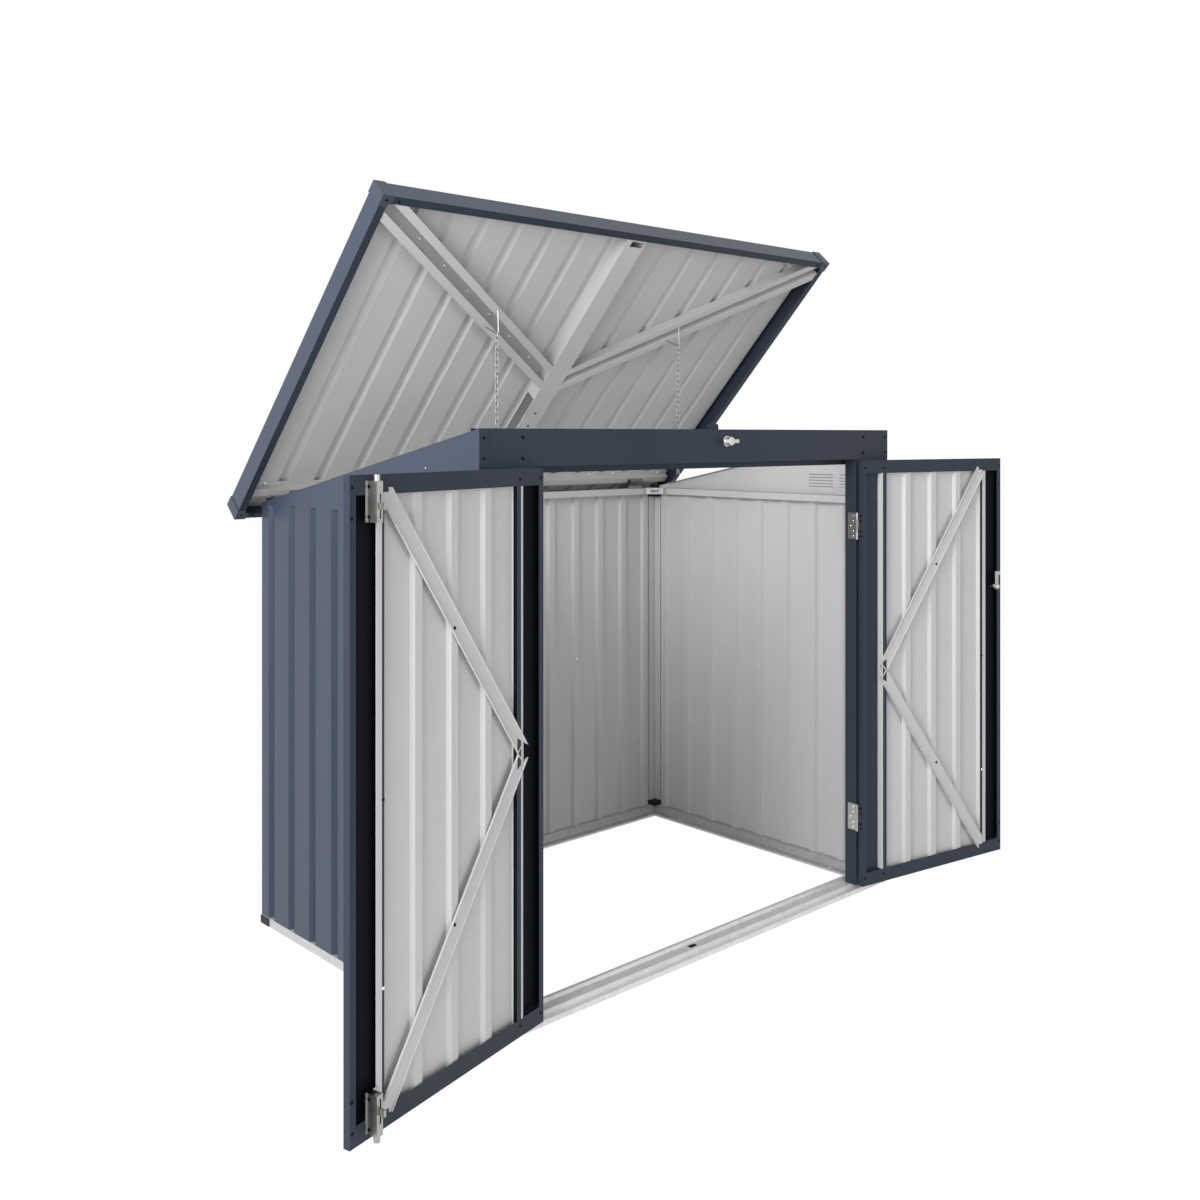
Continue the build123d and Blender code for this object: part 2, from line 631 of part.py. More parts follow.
# Bolts of the left door: a bracket folded round the rod, slotted for the lug that moves it
inner_half = rod_radius + rod_clearance
outer_half = inner_half + profile
flange_t = door_thickness + profile
crest_t = rod_setout + outer_half
bracket_path = [(outer_half + bracket_lip, flange_t), (outer_half, flange_t), (outer_half, crest_t)]
bracket_path += [(-outer_half, crest_t), (-outer_half, flange_t), (-outer_half - bracket_flange, flange_t)]
lug_half = lug_width / 2
slot_half = lug_half + bracket_slot_spare
slot_reach = lug_height / 2 + bracket_slot_spare + rod_travel
bolt_brackets = []
for name, tip, way in (("top", door_top, -1), ("bottom", door_bottom, 1)):
    bracket_z = sorted((tip + way * bracket_from_end, tip + way * (bracket_from_end + bracket_height)))
    bracket = along_z(bent(bracket_path, profile), bracket_z[0], bracket_z[1])
    lug_z = tip + way * lug_from_tip
    bracket -= block((-slot_half, slot_half), (crest_t - 2 * profile, crest_t + profile),
                     (lug_z - slot_reach, lug_z + slot_reach))
    rod = bar_z(rod_radius, 0, rod_setout, sorted((tip, tip + way * rod_length)))
    rod += block((-lug_half, lug_half), (rod_setout, rod_setout + lug_reach),
                 (lug_z - lug_height / 2, lug_z + lug_height / 2))
    bolt_brackets.append(on_left(Pos(rod_s, 0, 0) * bracket))
    nodes[name + "_bolt_rod"] = on_left(Pos(rod_s, 0, 0) * rod)
nodes["bolt_brackets"] = Compound(bolt_brackets)


# Turn latch: ring on the outside, T-handle with its shaft, and a hook cam held by a nut on the inside
def latch_ring():
    bore = RegularPolygon(shaft_radius + shaft_clearance, latch_sides, major_radius=False)
    return along_y(RegularPolygon(ring_radius, latch_sides) - bore, -ring_height, 0)


def latch_handle(cam_set):
    grip = (-handle_reach, -handle_reach + knob_height)
    handle = along_y(RegularPolygon(knob_radius, latch_sides), grip[0], grip[1])
    handle += block((-handle_length / 2, handle_length / 2), grip, (-handle_width / 2, handle_width / 2))
    handle += bar_y(shaft_radius, 0, (-handle_reach, cam_set + cam_thickness + nut_height), 0)
    nut = cam_set + cam_thickness
    return handle + Pos(0, nut + nut_height, 0) * extrude(Plane.XZ * RegularPolygon(nut_radius, 6), nut_height)


def latch_cam(cam_set):
    half = cam_width / 2
    outline = shape((-half, -half), (half, -half), (half, cam_reach - cam_hook_height),
                    (cam_hook_width - half, cam_reach - cam_hook_height), (cam_hook_width - half, cam_reach),
                    (-half, cam_reach), (-half, half), (-cam_arm, half), (-cam_arm, 0), (-half, -half / 2))
    cam = along_y(outline, cam_set, cam_set + cam_thickness)
    return cam - bar_y(shaft_radius + shaft_clearance, 0, (cam_set, cam_set + cam_thickness), 0)


door_latch_place = Pos(latch_s, 0, door_latch_level)
nodes["door_latch_ring"] = on_right(door_latch_place * latch_ring())
nodes["door_latch_handle"] = on_right(door_latch_place * latch_handle(door_cam_set))
nodes["door_latch_cam"] = on_right(door_latch_place * latch_cam(door_cam_set))
lid_latch_place = Pos(lid_latch_x, front_y, lid_latch_level)
nodes["lid_latch_ring"] = lid_latch_place * latch_ring()
nodes["lid_latch_handle"] = lid_latch_place * latch_handle(lid_cam_set)
nodes["lid_latch_cam"] = lid_latch_place * Rot(0, 90, 0) * latch_cam(lid_cam_set)

# Lid rim: four folded rails with plastic caps over the corners
front_path = [(lid_flange - lid_depth, lid_rim), (-lid_depth, lid_rim), (-lid_depth, 0), (lid_flange - lid_depth, 0)]
back_path = [(-lid_back_flange, 0), (0, 0), (0, lid_rim), (-lid_flange, lid_rim)]
left_path = [(lid_flange - lid_x, lid_rim), (-lid_x, lid_rim), (-lid_x, 0), (lid_flange - lid_x, 0)]
lid_left_rail = along_y(bent(left_path, profile), lid_flange - lid_depth, -lid_flange)
nodes["lid_front_rail"] = lid_swing * along_x(bent(front_path, profile), -lid_x, lid_x)
nodes["lid_back_rail"] = lid_swing * along_x(bent(back_path, profile), -lid_x, lid_x)
nodes["lid_left_rail"] = lid_swing * lid_left_rail
nodes["lid_right_rail"] = lid_swing * mirrored(lid_left_rail)
corner_x = (-lid_x - cap_wall, cap_leg - lid_x)
cap_caps = []
for corner_y in ((-lid_depth - cap_wall, cap_leg - lid_depth), (-cap_leg, cap_wall)):
    cap = block(corner_x, corner_y, (-cap_wall, lid_rim + cap_wall))
    cap -= block((-lid_x, lid_x), (-lid_depth, 0), (0, lid_rim))
    cap -= block((lid_flange - lid_x, lid_x), (lid_flange - lid_depth, -lid_flange), (-lid_rim, 2 * lid_rim))
    cap_caps += [lid_swing * cap, lid_swing * mirrored(cap)]
nodes["lid_corner_caps"] = Compound(cap_caps)

# Ribbed lid sheet, its ribs standing up to the rim flanges
panel_edge = lid_x - lid_flange + lid_panel_lap
panel_y = (2 * profile - lid_depth, -2 * profile)
lid_section = bent(ribbed(-lid_x - rib_pitch, lid_x + rib_pitch, rib_pitch / 2, -rib_depth), sheet)
lid_panel = Pos(0, 0, ridge_level + sheet) * along_y(lid_section, panel_y[0], panel_y[1])
lid_panel &= block((-panel_edge, panel_edge), panel_y, (0, lid_rim))
nodes["lid_panel"] = lid_swing * lid_panel

# Cross rail at the back, centre beam, and diagonal hat-section braces
web_level = ridge_level - profile
cross_fold = cross_rail_start + cross_rail_width
cross_end = cross_fold + cross_rail_flange
cross_path = [(-cross_end, web_level), (-cross_fold, web_level), (-cross_fold, cross_rail_level)]
cross_path += [(-cross_rail_start, cross_rail_level), (-cross_rail_start, ridge_level)]
cross_rail_x = lid_x - cross_rail_end_gap
nodes["lid_cross_rail"] = lid_swing * along_x(bent(cross_path, profile), -cross_rail_x, cross_rail_x)
beam_left, beam_right = beam_offset - beam_width / 2, beam_offset + beam_width / 2
beam_path = [(beam_left, ridge_level), (beam_left, lid_brace_level), (beam_right, lid_brace_level)]
beam_path.append((beam_right, ridge_level))
lid_beam = along_y(bent(beam_path, profile), panel_y[0], -cross_end)
lid_beam -= block((lock_x[0] - beam_slot_spare, lock_x[1] + beam_slot_spare),
                  (-beam_slot_start - beam_slot_length, -beam_slot_start), (0, lid_brace_level + profile))
lid_beam -= block((beam_left, beam_left + profile), (-beam_window_end, -beam_window_start),
                  (lid_brace_level + 2 * profile, ridge_level - 2 * profile))
nodes["lid_centre_beam"] = lid_swing * lid_beam
channel_half = lid_brace_channel / 2
hat_path = [(-lid_brace_width / 2, lid_brace_level), (-channel_half, lid_brace_level), (-channel_half, web_level)]
hat_path += [(-q, w) for q, w in hat_path[::-1]]
brace_x = lid_x - lid_brace_side_gap
brace_front = lid_depth - lid_brace_front_gap
brace_dx = beam_width / 2 - brace_x
brace_dv = lid_brace_meeting - brace_front
brace_run = math.hypot(brace_dx, brace_dv)
brace_way = (-brace_dx / brace_run, -brace_dv / brace_run, 0)
hat_origin = (-brace_x - brace_way[0] * lid_rim, -brace_front - brace_way[1] * lid_rim, 0)
hat_plane = Plane(hat_origin, x_dir=(-brace_way[1], brace_way[0], 0), z_dir=brace_way)
lid_brace = extrude(hat_plane * bent(hat_path, profile), brace_run + 3 * lid_rim)
hat_y = (panel_y[0], -cross_end)
left_brace = lid_brace & block((2 * profile - lid_x, beam_left), hat_y, (0, lid_rim))
right_brace = lid_brace & block((2 * profile - lid_x, -beam_right), hat_y, (0, lid_rim))
nodes["lid_left_brace"] = lid_swing * left_brace
nodes["lid_right_brace"] = lid_swing * mirrored(right_brace)
keeper_y = keeper_front_gap - lid_depth
keeper = block((beam_right, beam_right + keeper_width),
               (keeper_y - keeper_depth / 2, keeper_y + keeper_depth / 2), (web_level, ridge_level))
nodes["lid_keeper"] = lid_swing * keeper

# Chain hangers: two rods from the brace lips to a short bar
lip_middle = (lid_brace_width / 2 + channel_half) / 2
brace_slope = brace_dv / brace_dx
brace_v = brace_front + (chain_x - brace_x) * brace_slope
hanger_v = brace_v - hanger_set
lip_v = lip_middle * math.hypot(1, brace_slope)
hangers = []
for side in (-1, 1):
    hanger = bar_x(hanger_bar_radius, (side * chain_x - hanger_bar_length / 2, side * chain_x + hanger_bar_length / 2),
                   -hanger_v, -hanger_drop)
    for way in (-1, 1):
        x = side * chain_x + way * hanger_rod_side
        foot = Vector(x, -hanger_v, -hanger_drop)
        head = Vector(x, -brace_v - way * lip_v, lid_brace_level)
        rod_line = (head - foot).normalized()
        rod_section = RegularPolygon(hanger_rod_radius, wire_sides)
        rod = extrude(Plane(foot, z_dir=rod_line) * rod_section, (head - foot).length * 1.2)
        hanger += rod & block((x - lid_rim, x + lid_rim), (-lid_depth, 0), (-lid_depth, lid_brace_level))
    hangers.append(lid_swing * hanger)
nodes["chain_hangers"] = Compound(hangers)

# Chain: links of bent wire, every second one turned, with an open hook below
half_link_width = link_inner_width / 2 + wire_radius
half_link_length = link_inner_length / 2 + wire_radius
flat_half = half_link_width - link_bend * 0.85
side_half = half_link_length - link_bend
link_points = [(half_link_width, 0), (half_link_width, side_half), (flat_half, half_link_length)]
link_points += [(-flat_half, half_link_length), (-half_link_width, side_half), (-half_link_width, -side_half)]
link_points += [(-flat_half, -half_link_length), (flat_half, -half_link_length), (half_link_width, -side_half)]
hook_points = [(-half_link_width, side_half - 2 * link_bend), (-half_link_width, side_half)]
hook_points += [(-flat_half, half_link_length), (flat_half, half_link_length), (half_link_width, side_half)]
hook_points += [(half_link_width, -half_link_length), (flat_half, -half_link_length - link_bend)]
hook_points += [(-half_link_width, -half_link_length - link_bend), (-half_link_width - link_bend, -half_link_length)]
hook_points.append((-half_link_width - link_bend, -half_link_length + 2 * link_bend))


def wire(points, closed):
    path = Plane.YZ * Polyline(*points, close=closed)
    return sweep(Plane(path @ 0, z_dir=path % 0) * RegularPolygon(wire_radius, wire_sides), path=path,
                 transition=Transition.RIGHT)


link = wire(link_points, True)
hook = wire(hook_points, False)
link_step = link_inner_length - link_gap
first_drop = link_inner_length / 2 - hanger_bar_radius - link_gap
hang_point = (lid_swing * Pos(0, -hanger_v, -hanger_drop)).position
for name, x in (("left_chain", -chain_x), ("right_chain", chain_x)):
    pieces = []
    for index in range(link_count + 1):
        piece = hook if index == link_count else link
        turn = 90 * (index % 2)
        pieces.append(Pos(x, hang_point.Y, hang_point.Z - first_drop - index * link_step) * Rot(0, 0, turn) * piece)
    nodes[name] = Compound(pieces)

os.makedirs("parts", exist_ok=True)
for name, part in nodes.items():
    export_step(part, "parts/" + name + ".step")
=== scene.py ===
import json
import math

import bpy
from mathutils import Matrix, Vector


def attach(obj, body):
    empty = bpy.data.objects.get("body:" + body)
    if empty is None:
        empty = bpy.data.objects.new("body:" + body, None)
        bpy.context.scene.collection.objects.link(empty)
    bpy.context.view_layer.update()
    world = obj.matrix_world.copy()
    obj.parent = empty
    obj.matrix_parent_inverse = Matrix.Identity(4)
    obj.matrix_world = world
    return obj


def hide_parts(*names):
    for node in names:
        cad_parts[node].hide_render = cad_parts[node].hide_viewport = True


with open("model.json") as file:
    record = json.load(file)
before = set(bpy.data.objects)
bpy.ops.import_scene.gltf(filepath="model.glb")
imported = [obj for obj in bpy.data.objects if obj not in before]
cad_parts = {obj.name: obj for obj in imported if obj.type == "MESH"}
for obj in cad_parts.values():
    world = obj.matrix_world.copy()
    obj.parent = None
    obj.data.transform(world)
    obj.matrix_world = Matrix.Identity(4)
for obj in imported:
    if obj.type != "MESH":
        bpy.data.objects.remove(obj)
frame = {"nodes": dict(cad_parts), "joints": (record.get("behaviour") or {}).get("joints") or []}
nodes = frame["nodes"]
joints = {joint["name"]: joint for joint in frame["joints"]}
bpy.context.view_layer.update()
bpy.ops.object.select_all(action="DESELECT")


# Base frame: a stepped sill under the doorway and three rails, roll-formed from hot-dip
# galvanised sheet. Flat plates of the same sheet tie its back corners, and slotted braces tie
# those of the top rails.
def linear(colour):
    parts = [int(colour[place:place + 2], 16) / 255 for place in (1, 3, 5)]
    return [part / 12.92 if part <= 0.04045 else ((part + 0.055) / 1.055) ** 2.4 for part in parts] + [1.0]


def even(value):
    return [value, value, value, 1.0]


def per_metre(size_mm):
    return 1000.0 / size_mm


def connect(tree, node, links):
    for name, (source, output) in links.items():
        tree.links.new(source.outputs[output], node.inputs[name])


# Adds a node with its settings, values and links, and with the colours of its stops if it has any
def add_node(tree, kind, values=None, links=None, stops=(), **settings):
    node = tree.nodes.new(kind)
    for name, value in settings.items():
        setattr(node, name, value)
    for name, value in (values or {}).items():
        node.inputs[name].default_value = value
    for place, colour in enumerate(stops):
        node.color_ramp.elements[place].color = colour
    connect(tree, node, links or {})
    return node


# Begins a material, and gives the output that its patterns take their place from
def start_material(name, metallic):
    material = bpy.data.materials.new(name)
    material.use_nodes = True
    tree = material.node_tree
    shader = tree.nodes["Principled BSDF"]
    shader.inputs["Metallic"].default_value = metallic
    at = (add_node(tree, "ShaderNodeTexCoord"), "Object")
    return material, tree, shader, at


def galvanised_sheet(name, low, high):
    # Hot-dip zinc: its crystals give a faint patchwork of paler and darker grey, half matt
    crystal_mm, smear_mm = 14.0, 160.0
    material, tree, shader, at = start_material(name, metallic=0.45)
    crystals = add_node(tree, "ShaderNodeTexVoronoi", {"Scale": per_metre(crystal_mm)}, {"Vector": at})
    smears = add_node(tree, "ShaderNodeTexNoise", {"Scale": per_metre(smear_mm), "Detail": 4.0},
                      {"Vector": at})
    colour = add_node(tree, "ShaderNodeValToRGB", links={"Fac": (crystals, "Color")},
                      stops=(linear(low), linear(high)))
    gloss = add_node(tree, "ShaderNodeValToRGB", links={"Fac": (smears, "Fac")},
                     stops=(even(0.46), even(0.64)))
    connect(tree, shader, {"Base Color": (colour, "Color"), "Roughness": (gloss, "Color")})
    return material


def paint(material, *names):
    for name in names:
        nodes[name].data.materials.clear()
        nodes[name].data.materials.append(material)


# The sill takes a paler copy of the same galvanised sheet: painted light, making up for the light that it
# gets too little of
galvanised = galvanised_sheet("galvanised_sheet", "#BABBBB", "#CACAC8")
sill_galvanised_painted_light = galvanised_sheet("galvanised_sheet_painted_lighter", "#DCDDDD", "#EAEAE8")
paint(galvanised, "left_base_rail", "right_base_rail", "back_base_rail", "corner_brackets")
paint(sill_galvanised_painted_light, "front_sill")


# Front posts, fascia and lock plate: folded steel sheet, dipped in zinc and powder coated
# dark blue-grey on both sides after folding. Four black screws hold the fascia to the posts.
def powder_coat():
    # Baked powder: a fine orange-peel skin with a soft satin shine and no grain in its colour.
    # The peel is really about 1.5 mm across, and is drawn at 7 mm so that it shows.
    peel_mm, cloud_mm = 7.0, 420.0
    material, tree, shader, at = start_material("navy_powder_coat", metallic=0.0)
    shader.inputs["Specular IOR Level"].default_value = 0.2
    shader.inputs["Specular Tint"].default_value = linear("#D2DBEC")
    peel = add_node(tree, "ShaderNodeTexNoise", {"Scale": per_metre(peel_mm), "Detail": 1.0},
                    {"Vector": at})
    clouds = add_node(tree, "ShaderNodeTexNoise", {"Scale": per_metre(cloud_mm), "Detail": 3.0},
                      {"Vector": at})
    colour = add_node(tree, "ShaderNodeValToRGB", links={"Fac": (clouds, "Fac")},
                      stops=(linear("#2F3540"), linear("#363D4A")))
    gloss = add_node(tree, "ShaderNodeValToRGB", links={"Fac": (clouds, "Fac")},
                     stops=(even(0.40), even(0.47)))
    bump = add_node(tree, "ShaderNodeBump", {"Strength": 0.12, "Distance": 0.0003},
                    {"Height": (peel, "Fac")})
    connect(tree, shader, {"Base Color": (colour, "Color"), "Roughness": (gloss, "Color"),
                           "Normal": (bump, "Normal")})
    return material


def black_screw():
    # Black zinc on steel screws: nearly black, slightly mottled, with a dull metal glint
    mottle_mm = 1.5
    material, tree, shader, at = start_material("black_zinc_plate", metallic=1.0)
    mottle = add_node(tree, "ShaderNodeTexNoise", {"Scale": per_metre(mottle_mm), "Detail": 2.0},
                      {"Vector": at})
    colour = add_node(tree, "ShaderNodeValToRGB", links={"Fac": (mottle, "Fac")},
                      stops=(linear("#16181C"), linear("#24272C")))
    gloss = add_node(tree, "ShaderNodeValToRGB", links={"Fac": (mottle, "Fac")},
                     stops=(even(0.42), even(0.55)))
    connect(tree, shader, {"Base Color": (colour, "Color"), "Roughness": (gloss, "Color")})
    return material


def pick_piece(piece):
    bpy.ops.object.select_all(action="DESELECT")
    piece.select_set(True)
    bpy.context.view_layer.objects.active = piece


def pick_faces(piece, wanted):
    bpy.ops.object.mode_set(mode="EDIT")
    bpy.ops.mesh.select_mode(type="FACE")
    bpy.ops.mesh.select_all(action="DESELECT")
    bpy.ops.object.mode_set(mode="OBJECT")
    for face in piece.data.polygons:
        face.select = wanted(face)
    bpy.ops.object.mode_set(mode="EDIT")


def smooth(piece, angle_deg):
    bpy.ops.object.mode_set(mode="OBJECT")
    pick_piece(piece)
    bpy.ops.object.shade_smooth_by_angle(angle=math.radians(angle_deg))


# Screw: a cold-headed disc with a rounded rim, and a round drive sunk into its crown
def formed_head(radius, height):
    sunk, rim_rounding, drive_depth = height / 5, height * 0.7, height * 0.5
    crown_width, drive_slope = radius * 0.2, radius * 0.08
    bpy.ops.object.select_all(action="DESELECT")
    bpy.ops.mesh.primitive_cylinder_add(vertices=18, radius=radius, depth=height + sunk,
                                        location=(0, 0, (height - sunk) / 2))
    head = bpy.context.object
    bpy.ops.object.transform_apply(location=True)
    pick_faces(head, lambda face: face.normal.z > 0.9)
    bpy.ops.mesh.bevel(offset=rim_rounding, segments=3, affect="EDGES")
    pick_faces(head, lambda face: face.normal.z > 0.99)
    bpy.ops.mesh.inset(thickness=crown_width)
    bpy.ops.mesh.inset(thickness=drive_slope, depth=-drive_depth)
    smooth(head, angle_deg=40)
    return head


# Copies each model to its place, with a mesh of its own, and joins the copies into one piece
def join_copies(name, placed, material):
    copies = []
    for model, place in placed:
        copy = model.copy()
        copy.data = model.data.copy()
        bpy.context.collection.objects.link(copy)
        copy.data.transform(place)
        copies.append(copy)
    piece = copies[0]
    pick_piece(piece)
    for copy in copies:
        copy.select_set(True)
    bpy.ops.object.join()
    piece.name = name
    piece.data.materials.clear()
    piece.data.materials.append(material)
    return piece


# Sets a head at each place, given in millimetres with the direction that the head faces
def fasten(name, head, places, material, body):
    placed = []
    for place, outwards in places:
        turn = Vector((0, 0, 1)).rotation_difference(Vector(outwards)).to_matrix().to_4x4()
        placed.append((head, Matrix.Translation(Vector(place) * mm) @ turn))
    piece = join_copies(name, placed, material)
    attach(piece, body)


mm = 0.001
both_sides = (-1, 1)
front_y = -463.0
fascia_screw_x, fascia_screw_levels = 608, (1257, 1213.5)
navy = powder_coat()
black_zinc = black_screw()
paint(navy, "left_front_post", "right_front_post", "fascia", "lock_plate")
frame_screw = formed_head(4.2 * mm, 2.2 * mm)
fascia_screws = [((side * fascia_screw_x, front_y, level), (0, -1, 0))
                 for side in both_sides for level in fascia_screw_levels]
fasten("fascia_screws", frame_screw, fascia_screws, black_zinc, "cabinet")


# Rear corner posts and top rails: folded from pre-coated light grey steel strip. Black moulded
# plugs close the posts, and black moulded caps clip round the back corners of the base frame.
def grey_coat():
    # Coil-coated polyester: flat, pale grey and nearly matt, with a faint drawn streak
    streak_mm, skin_mm = 90.0, 6.0
    material, tree, shader, at = start_material("grey_coil_coat", metallic=0.0)
    shader.inputs["Specular IOR Level"].default_value = 0.3
    streaks = add_node(tree, "ShaderNodeTexNoise", {"Scale": per_metre(streak_mm), "Detail": 4.0},
                       {"Vector": at})
    skin = add_node(tree, "ShaderNodeTexNoise", {"Scale": per_metre(skin_mm), "Detail": 1.0},
                    {"Vector": at})
    colour = add_node(tree, "ShaderNodeValToRGB", links={"Fac": (streaks, "Fac")},
                      stops=(linear("#CACAC9"), linear("#D0D0CF")))
    gloss = add_node(tree, "ShaderNodeValToRGB", links={"Fac": (streaks, "Fac")},
                     stops=(even(0.54), even(0.64)))
    bump = add_node(tree, "ShaderNodeBump", {"Strength": 0.08, "Distance": 0.0003},
                    {"Height": (skin, "Fac")})
    connect(tree, shader, {"Base Color": (colour, "Color"), "Roughness": (gloss, "Color"),
                           "Normal": (bump, "Normal")})
    return material


def moulded_plastic(name, low, high, specular):
    # Moulded polypropylene: one even colour under a fine spark-eroded grain, with a dull shine
    grain_mm = 2.5
    material, tree, shader, at = start_material(name, metallic=0.0)
    shader.inputs["Specular IOR Level"].default_value = specular
    shader.inputs["Roughness"].default_value = 0.5
    grain = add_node(tree, "ShaderNodeTexNoise", {"Scale": per_metre(grain_mm), "Detail": 2.0},
                     {"Vector": at})
    colour = add_node(tree, "ShaderNodeValToRGB", links={"Fac": (grain, "Fac")},
                      stops=(linear(low), linear(high)))
    bump = add_node(tree, "ShaderNodeBump", {"Strength": 0.2, "Distance": 0.0004},
                    {"Height": (grain, "Fac")})
    connect(tree, shader, {"Base Color": (colour, "Color"), "Normal": (bump, "Normal")})
    return material


def add_block(size, place):
    bpy.ops.object.select_all(action="DESELECT")
    bpy.ops.mesh.primitive_cube_add(size=1, location=place)
    block = bpy.context.object
    block.scale = size
    bpy.ops.object.transform_apply(location=True, scale=True)
    return block


def apply_modifier(piece, kind, **settings):
    pick_piece(piece)
    modifier = piece.modifiers.new(kind.lower(), kind)
    for name, value in settings.items():
        setattr(modifier, name, value)
    bpy.ops.object.modifier_apply(modifier=modifier.name)


# Base cap: a small corner block, drawn out along the side and along the back into an L
def base_cap(side):
    wall, leg, height, clear, rounding = 2.5 * mm, 40 * mm, 20 * mm, 0.5 * mm, 0.6 * mm
    middle_x = side * (wall_x * mm + wall / 2)
    base_back = back_y * mm
    cap = add_block((wall, wall, height), (middle_x, base_back + wall / 2, clear + height / 2))
    pick_faces(cap, lambda face: face.normal.y < -0.9)
    bpy.ops.mesh.extrude_region_move(TRANSFORM_OT_translate={"value": (0, -leg, 0)})
    pick_faces(cap, lambda face: face.normal.x * side < -0.9 and face.center.y > base_back)
    bpy.ops.mesh.extrude_region_move(TRANSFORM_OT_translate={"value": (-side * leg, 0, 0)})
    bpy.ops.object.mode_set(mode="OBJECT")
    apply_modifier(cap, "BEVEL", width=rounding, segments=2)
    return cap


wall_x, back_y = 722.5, 463.0
grey = grey_coat()
black = moulded_plastic("black_polypropylene", "#16181B", "#202327", specular=0.25)
paint(grey, "left_rear_post", "right_rear_post", "left_top_rail", "right_top_rail", "back_top_rail")
paint(black, "rear_post_plugs")
for side, name in ((-1, "left_base_cap"), (1, "right_base_cap")):
    cap = base_cap(side)
    cap.name = name
    cap.data.materials.append(black)
    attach(cap, "cabinet")


# Walls and gables: trapezoid-ribbed sheets and plain sloping sheets with louvre vents. The coil
# is blue-grey on its weather side and pale grey on its back, and the gables' front edges are
# powder coated with the fascia. Bright rivets and black screws hold the sheets.
def coil_coat():
    # Coil-coated polyester, the same blue-grey as the frame but smooth, so that it shines more.
    # The roller leaves long soft bands, drawn at 300 mm.
    band_mm = 300.0
    material, tree, shader, at = start_material("navy_coil_coat", metallic=0.0)
    shader.inputs["Specular IOR Level"].default_value = 0.35
    bands = add_node(tree, "ShaderNodeTexNoise", {"Scale": per_metre(band_mm), "Detail": 3.0},
                     {"Vector": at})
    colour = add_node(tree, "ShaderNodeValToRGB", links={"Fac": (bands, "Fac")},
                      stops=(linear("#353E4D"), linear("#3B4556")))
    gloss = add_node(tree, "ShaderNodeValToRGB", links={"Fac": (bands, "Fac")},
                     stops=(even(0.34), even(0.42)))
    connect(tree, shader, {"Base Color": (colour, "Color"), "Roughness": (gloss, "Color")})
    return material


def rivet_metal():
    # Bright aluminium: a rivet head shows as a small white spot with a darker rim
    mark_mm = 2.0
    material, tree, shader, at = start_material("bright_aluminium", metallic=1.0)
    marks = add_node(tree, "ShaderNodeTexNoise", {"Scale": per_metre(mark_mm), "Detail": 2.0},
                     {"Vector": at})
    colour = add_node(tree, "ShaderNodeValToRGB", links={"Fac": (marks, "Fac")},
                      stops=(linear("#F0F0EE"), linear("#FAFAF9")))
    gloss = add_node(tree, "ShaderNodeValToRGB", links={"Fac": (marks, "Fac")},
                     stops=(even(0.10), even(0.18)))
    connect(tree, shader, {"Base Color": (colour, "Color"), "Roughness": (gloss, "Color")})
    return material


# Paints the faces that are picked in one more material
def paint_part(name, material, picked):
    mesh = nodes[name].data
    mesh.materials.append(material)
    for face in mesh.polygons:
        if picked(face):
            face.material_index = len(mesh.materials) - 1


def paint_sides(name, outside, outer_material, inner_material):
    turned_away = -0.2
    paint(outer_material, name)
    paint_part(name, inner_material, lambda face: face.normal.dot(outside) < turned_away)


# Rivet: a ball cut off just below its middle and pressed flatter
def domed_head(radius, height):
    sunk = radius * 0.1
    bpy.ops.object.select_all(action="DESELECT")
    bpy.ops.mesh.primitive_uv_sphere_add(segments=14, ring_count=8, radius=radius)
    head = bpy.context.object
    bpy.ops.object.mode_set(mode="EDIT")
    bpy.ops.mesh.select_all(action="SELECT")
    bpy.ops.mesh.bisect(plane_co=(0, 0, -sunk), plane_no=(0, 0, 1), use_fill=True, clear_inner=True)
    bpy.ops.mesh.select_all(action="SELECT")
    bpy.ops.transform.resize(value=(1, 1, height / radius), center_override=(0, 0, 0))
    smooth(head, angle_deg=50)
    return head


rib_rise, wall_rivet_level, side_rivet_y, back_rivet_x = 10.8, 550, (0, 412), (-360.5, 360.5)
gable_rivet_y, gable_rivet_level = -273, 1191
gable_edge, gable_gauge, gable_screw_x, gable_screw_levels = 0.5, 0.8, 711, (1256, 1214)
left, right, rear = Vector((-1, 0, 0)), Vector((1, 0, 0)), Vector((0, 1, 0))
coil = coil_coat()
aluminium = rivet_metal()
for name, outside in (("left_wall", left), ("right_wall", right), ("back_wall", rear),
                      ("left_gable", left), ("right_gable", right)):
    paint_sides(name, outside, coil, grey)
for name, outside in (("left_top_rail", left), ("right_top_rail", right), ("back_top_rail", rear)):
    paint_part(name, coil, lambda face: face.normal.dot(outside) > 0.9)
for name in ("left_gable", "right_gable"):
    paint_part(name, navy, lambda face: face.center.y < (front_y + gable_edge) * mm)
wall_rivet = domed_head(3.4 * mm, 2.4 * mm)
wall_rivets = [((side * (wall_x - rib_rise), y, wall_rivet_level), (-side, 0, 0))
               for side in both_sides for y in side_rivet_y]
wall_rivets += [((x, back_y - rib_rise, wall_rivet_level), (0, -1, 0)) for x in back_rivet_x]
fasten("wall_rivets", wall_rivet, wall_rivets, aluminium, "cabinet")
gable_rivet = domed_head(2.0 * mm, 1.0 * mm)
gable_rivets = [((side * wall_x, gable_rivet_y, gable_rivet_level), (side, 0, 0)) for side in both_sides]
fasten("gable_rivets", gable_rivet, gable_rivets, aluminium, "cabinet")
sheet_screw = formed_head(3.4 * mm, 1.6 * mm)
gable_screws = [((side * gable_screw_x, front_y - gable_gauge, level), (0, -1, 0))
                for side in both_sides for level in gable_screw_levels]
fasten("gable_screws", sheet_screw, gable_screws, black_zinc, "cabinet")


